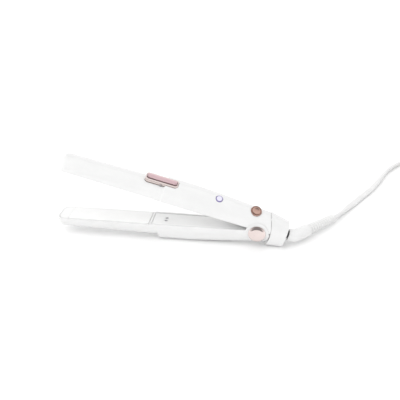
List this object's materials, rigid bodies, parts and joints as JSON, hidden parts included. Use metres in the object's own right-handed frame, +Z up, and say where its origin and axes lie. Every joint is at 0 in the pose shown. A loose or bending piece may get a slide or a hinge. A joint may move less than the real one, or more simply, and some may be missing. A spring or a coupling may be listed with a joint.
{
  "type": "hair straightener",
  "caption": "Slim flat iron, open, with two hinged arms, floating heater plates, a temperature rocker, a power button and a swivelling flat cord with a plug.",
  "frame": {"origin": "on the surface the iron lies on, under the middle of its bounding box without the swivel elbow, the cord and the plug", "axes": "+X along the iron from the tips to the hinge end, +Y away from the side with the controls, +Z up"},
  "size_m": [0.5708, 0.3304, 0.0939],
  "materials": {
    "shell": "glossy white moulded plastic",
    "inner": "satin white moulded plastic",
    "plate": "smooth off-white ceramic coat on aluminium",
    "ceramic": "dull cream ceramic",
    "steel": "plain steel",
    "rose": "rose-gold metallised plastic",
    "copper": "dark copper metallised plastic",
    "lens": "milky lavender light guide",
    "dark": "dark grey plastic",
    "board": "green circuit board",
    "bush": "natural nylon",
    "cord": "soft white vinyl",
    "brass": "bright brass"
  },
  "bodies": {
    "upper_arm": {"upper_shell": "shell", "upper_inner_cover": "inner", "upper_plate_carrier": "inner", "upper_front_plate_spring": "steel", "upper_rear_plate_spring": "steel", "upper_left_cover_screw": "steel", "upper_right_cover_screw": "steel", "thermal_fuse": "ceramic", "upper_heater_lead": "dark", "rocker_bezel": "rose", "rocker_pin": "steel", "button_ring": "rose", "indicator_lens": "lens", "control_board": "board", "front_rocker_switch": "dark", "rear_rocker_switch": "dark", "power_switch": "dark", "hinge_bracket": "inner", "hinge_pin": "steel", "rear_cap": "shell", "inner_lead": "dark", "cord": "cord", "cord_coil": "cord", "cord_tie": "cord", "cord_tail": "cord", "plug_body": "cord", "left_plug_blade": "brass", "right_plug_blade": "brass"},
    "lower_arm": {"lower_shell": "shell", "lower_inner_cover": "inner", "lower_plate_carrier": "inner", "lower_front_plate_spring": "steel", "lower_rear_plate_spring": "steel", "lower_left_cover_screw": "steel", "lower_right_cover_screw": "steel", "thermistor": "ceramic", "lower_heater_lead": "dark", "left_hinge_cheek": "shell", "right_hinge_cheek": "shell", "hinge_spring": "steel", "left_bush": "bush", "right_bush": "bush", "left_pivot_cap": "rose", "right_pivot_cap": "rose"},
    "upper_plate": {"upper_heater_plate": "plate", "upper_heater": "ceramic"},
    "lower_plate": {"lower_heater_plate": "plate", "lower_heater": "ceramic"},
    "rocker": {"temperature_rocker": "rose"},
    "button": {"power_button": "copper"},
    "swivel": {"swivel_stem": "dark", "swivel_retainer": "steel", "swivel_elbow": "shell", "strain_relief": "cord"}
  },
  "joints": [
    {"name": "arm_hinge", "type": "hinge", "parent": "upper_arm", "child": "lower_arm", "pos_m": [0.09522, 0, 0.0186], "axis": [0, 1, 0], "range_deg": [0, 15], "stiffness_Nm_per_rad": 1, "springref_deg": -20.05},
    {"name": "upper_plate_float", "type": "slide", "parent": "upper_arm", "child": "upper_plate", "axis": [0.2588, 0, 0.9659], "range_m": [0, 0.0008], "stiffness_N_per_m": 4000, "springref_m": -0.001, "deforming": ["upper_front_plate_spring", "upper_rear_plate_spring"]},
    {"name": "lower_plate_float", "type": "slide", "parent": "lower_arm", "child": "lower_plate", "axis": [0, 0, -1], "range_m": [0, 0.0008], "stiffness_N_per_m": 4000, "springref_m": -0.001, "deforming": ["lower_front_plate_spring", "lower_rear_plate_spring"]},
    {"name": "rocker_tilt", "type": "hinge", "parent": "upper_arm", "child": "rocker", "pos_m": [-0.00951, -0.00495, 0.07014], "axis": [0.1294, 0.866, 0.483], "range_deg": [-3.5, 3.5], "stiffness_Nm_per_rad": 0.05},
    {"name": "button_press", "type": "slide", "parent": "upper_arm", "child": "button", "axis": [-0.2241, 0.5, -0.8365], "range_m": [0, 0.0006], "stiffness_N_per_m": 800, "springref_m": -0.0008},
    {"name": "swivel_turn", "type": "hinge", "parent": "upper_arm", "child": "swivel", "pos_m": [0.12648, 0, 0.01354], "axis": [0.9659, 0, -0.2588], "continuous": true}
  ]
}
